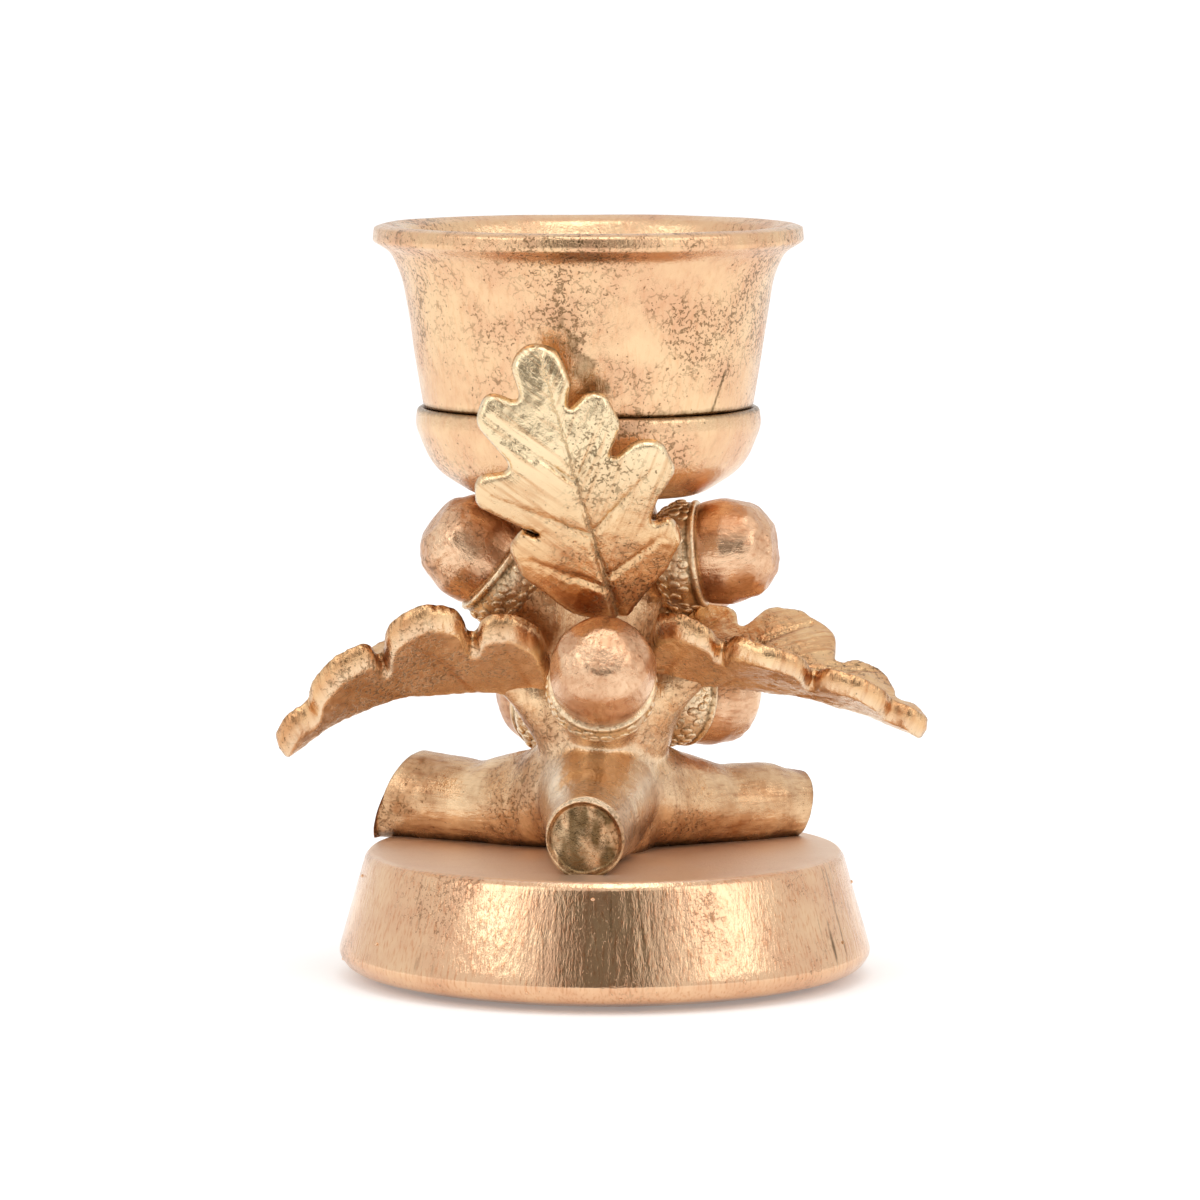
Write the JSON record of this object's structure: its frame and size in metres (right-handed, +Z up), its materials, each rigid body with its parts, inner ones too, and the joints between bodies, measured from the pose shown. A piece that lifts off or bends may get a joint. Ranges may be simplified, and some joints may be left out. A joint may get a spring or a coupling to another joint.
{
  "type": "candle holder",
  "caption": "Gilt candle holder: a flared cup on an acorn-and-oak-leaf branch that stands on a round plinth; the cup takes a tealight.",
  "frame": {"origin": "middle of the flat underside, on the table", "axes": "+Z up out of the cup, +X to the viewer's right, +Y away from the viewer and from the front leaf"},
  "size_m": [0.0879, 0.072, 0.1016],
  "materials": {
    "gilded_base": "metal leaf over cast resin, vertical scratches",
    "gilded_cup": "metal leaf over cast resin, burnished",
    "gilded_branch": "metal leaf over cast resin, toned dark in the hollows",
    "gilded_leaf": "metal leaf over cast resin, toned dark in the veins",
    "gilded_acorn_nut": "metal leaf over cast resin, smooth",
    "gilded_acorn_cap": "metal leaf over cast resin, toned darker",
    "felt": "brown felt",
    "zinc_steel": "zinc plated"
  },
  "bodies": {
    "root": {"base_plinth": "gilded_base", "felt_pad": "felt", "through_bolt": "zinc_steel", "base_washer": "zinc_steel", "hex_nut": "zinc_steel", "cup_bowl": "gilded_cup", "candle_cup": "gilded_cup", "branch_crown": "gilded_branch", "acorn_front_nut": "gilded_acorn_nut", "acorn_back_nut": "gilded_acorn_nut", "acorn_upper_right_nut": "gilded_acorn_nut", "acorn_upper_left_nut": "gilded_acorn_nut", "acorn_lower_right_nut": "gilded_acorn_nut", "acorn_lower_left_nut": "gilded_acorn_nut", "acorn_front_cap": "gilded_acorn_cap", "acorn_back_cap": "gilded_acorn_cap", "acorn_upper_right_cap": "gilded_acorn_cap", "acorn_upper_left_cap": "gilded_acorn_cap", "acorn_lower_right_cap": "gilded_acorn_cap", "acorn_lower_left_cap": "gilded_acorn_cap", "leaf_front": "gilded_leaf", "leaf_back": "gilded_leaf", "leaf_left": "gilded_leaf", "leaf_right": "gilded_leaf"}
  },
  "joints": []
}
